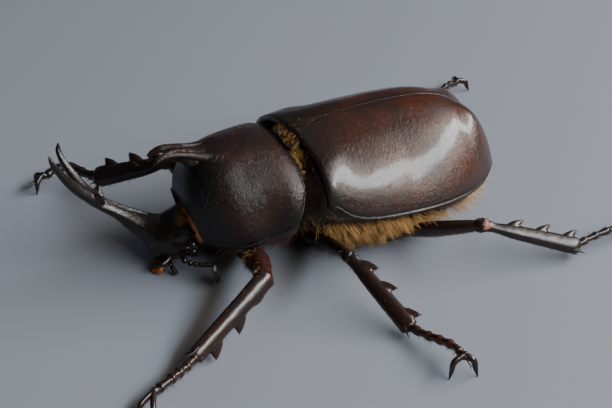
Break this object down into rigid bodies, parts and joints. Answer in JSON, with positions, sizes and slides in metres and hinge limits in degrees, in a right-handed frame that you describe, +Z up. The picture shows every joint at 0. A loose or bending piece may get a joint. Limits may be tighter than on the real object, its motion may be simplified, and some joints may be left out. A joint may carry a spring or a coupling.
{
  "type": "rhinoceros beetle",
  "caption": "Life-size male rhinoceros beetle standing still, with a long forked head horn, a short thoracic horn, reddish wing cases and hooked, toothed legs.",
  "frame": {"origin": "on the floor, in the middle of the box around the whole beetle, feet and horn included", "axes": "+Z up from the floor; -Y the way the beetle faces; +X its left side"},
  "size_m": [0.0748, 0.0792, 0.0191],
  "materials": {
    "shell_dark": "black-brown satin shell, finely punctured",
    "shell_red": "mahogany-brown polished shell",
    "horn": "black granular horn, polished at its edges",
    "leg": "black-brown polished shell",
    "under": "dull brown shell under golden hair",
    "eye": "black, finely faceted",
    "brush": "orange hair"
  },
  "bodies": {
    "root": {"thorax": "under", "abdomen": "under", "prosternum": "under", "pronotum": "shell_dark", "scutellum": "shell_dark", "pygidium": "shell_dark", "head": "shell_dark", "antenna_left": "shell_dark", "antenna_right": "shell_dark", "palp_left": "shell_dark", "palp_right": "shell_dark", "elytron_left": "shell_red", "elytron_right": "shell_red", "thoracic_horn": "horn", "head_horn": "horn", "eye_left": "eye", "eye_right": "eye", "mouth_brush": "brush", "coxa_fore_left": "leg", "femur_fore_left": "leg", "tibia_fore_left": "leg", "tarsus_fore_left": "leg", "claws_fore_left": "leg", "coxa_fore_right": "leg", "femur_fore_right": "leg", "tibia_fore_right": "leg", "tarsus_fore_right": "leg", "claws_fore_right": "leg", "coxa_mid_left": "leg", "femur_mid_left": "leg", "tibia_mid_left": "leg", "tarsus_mid_left": "leg", "claws_mid_left": "leg", "coxa_mid_right": "leg", "femur_mid_right": "leg", "tibia_mid_right": "leg", "tarsus_mid_right": "leg", "claws_mid_right": "leg", "coxa_hind_left": "leg", "femur_hind_left": "leg", "tibia_hind_left": "leg", "tarsus_hind_left": "leg", "claws_hind_left": "leg", "coxa_hind_right": "leg", "femur_hind_right": "leg", "tibia_hind_right": "leg", "tarsus_hind_right": "leg", "claws_hind_right": "leg"}
  },
  "joints": []
}
